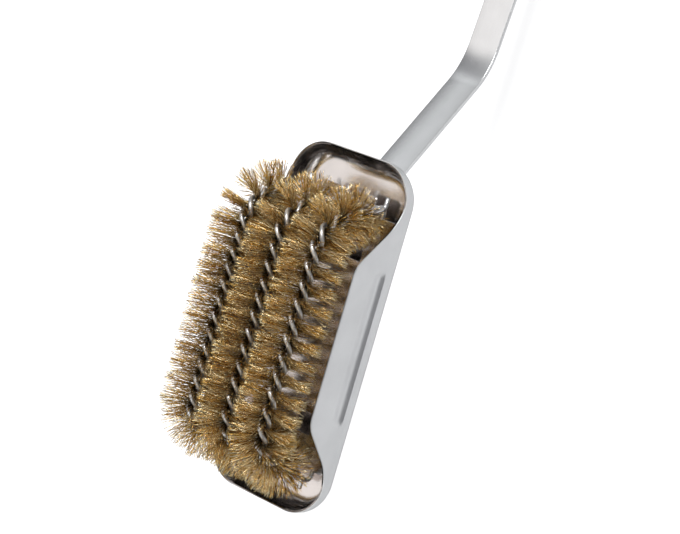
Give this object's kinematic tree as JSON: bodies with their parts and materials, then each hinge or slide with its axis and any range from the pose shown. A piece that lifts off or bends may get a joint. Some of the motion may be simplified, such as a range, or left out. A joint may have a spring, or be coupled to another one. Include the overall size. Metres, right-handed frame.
{
  "type": "grill cleaning brush",
  "caption": "Grill cleaning brush: a steel tray with a lift-out insert of twisted-in-wire brass brushes, on a cranked flat bar with a round grip and hanging eye.",
  "frame": {"origin": "centre of the flat bar's outer face under the middle of the tray", "axes": "+X along the tray towards the grip, +Z the way the bristles point, +Y across the rows"},
  "size_m": [0.4766, 0.073, 0.1436],
  "materials": {
    "tray_steel": "brushed outside, polished inside",
    "bar_steel": "satin",
    "plate_steel": "polished",
    "grip_steel": "brushed",
    "wire": "galvanised",
    "bristle_brass": "drawn wire"
  },
  "bodies": {
    "head": {"tray": "tray_steel", "strap": "bar_steel", "head_rivets": "bar_steel", "grip_collar": "grip_steel", "grip_tube": "grip_steel", "grip_cap": "grip_steel", "hanging_eye": "grip_steel"},
    "insert": {"insert_plate": "plate_steel", "row_near_tail_wire": "wire", "row_near_hook_wire": "wire", "row_near_bristles": "bristle_brass", "row_middle_tail_wire": "wire", "row_middle_hook_wire": "wire", "row_middle_bristles": "bristle_brass", "row_far_tail_wire": "wire", "row_far_hook_wire": "wire", "row_far_bristles": "bristle_brass"}
  },
  "joints": [
    {"name": "insert_lift", "type": "slide", "parent": "head", "child": "insert", "axis": [0, 0, 1], "range_m": [0, 0.045]}
  ]
}
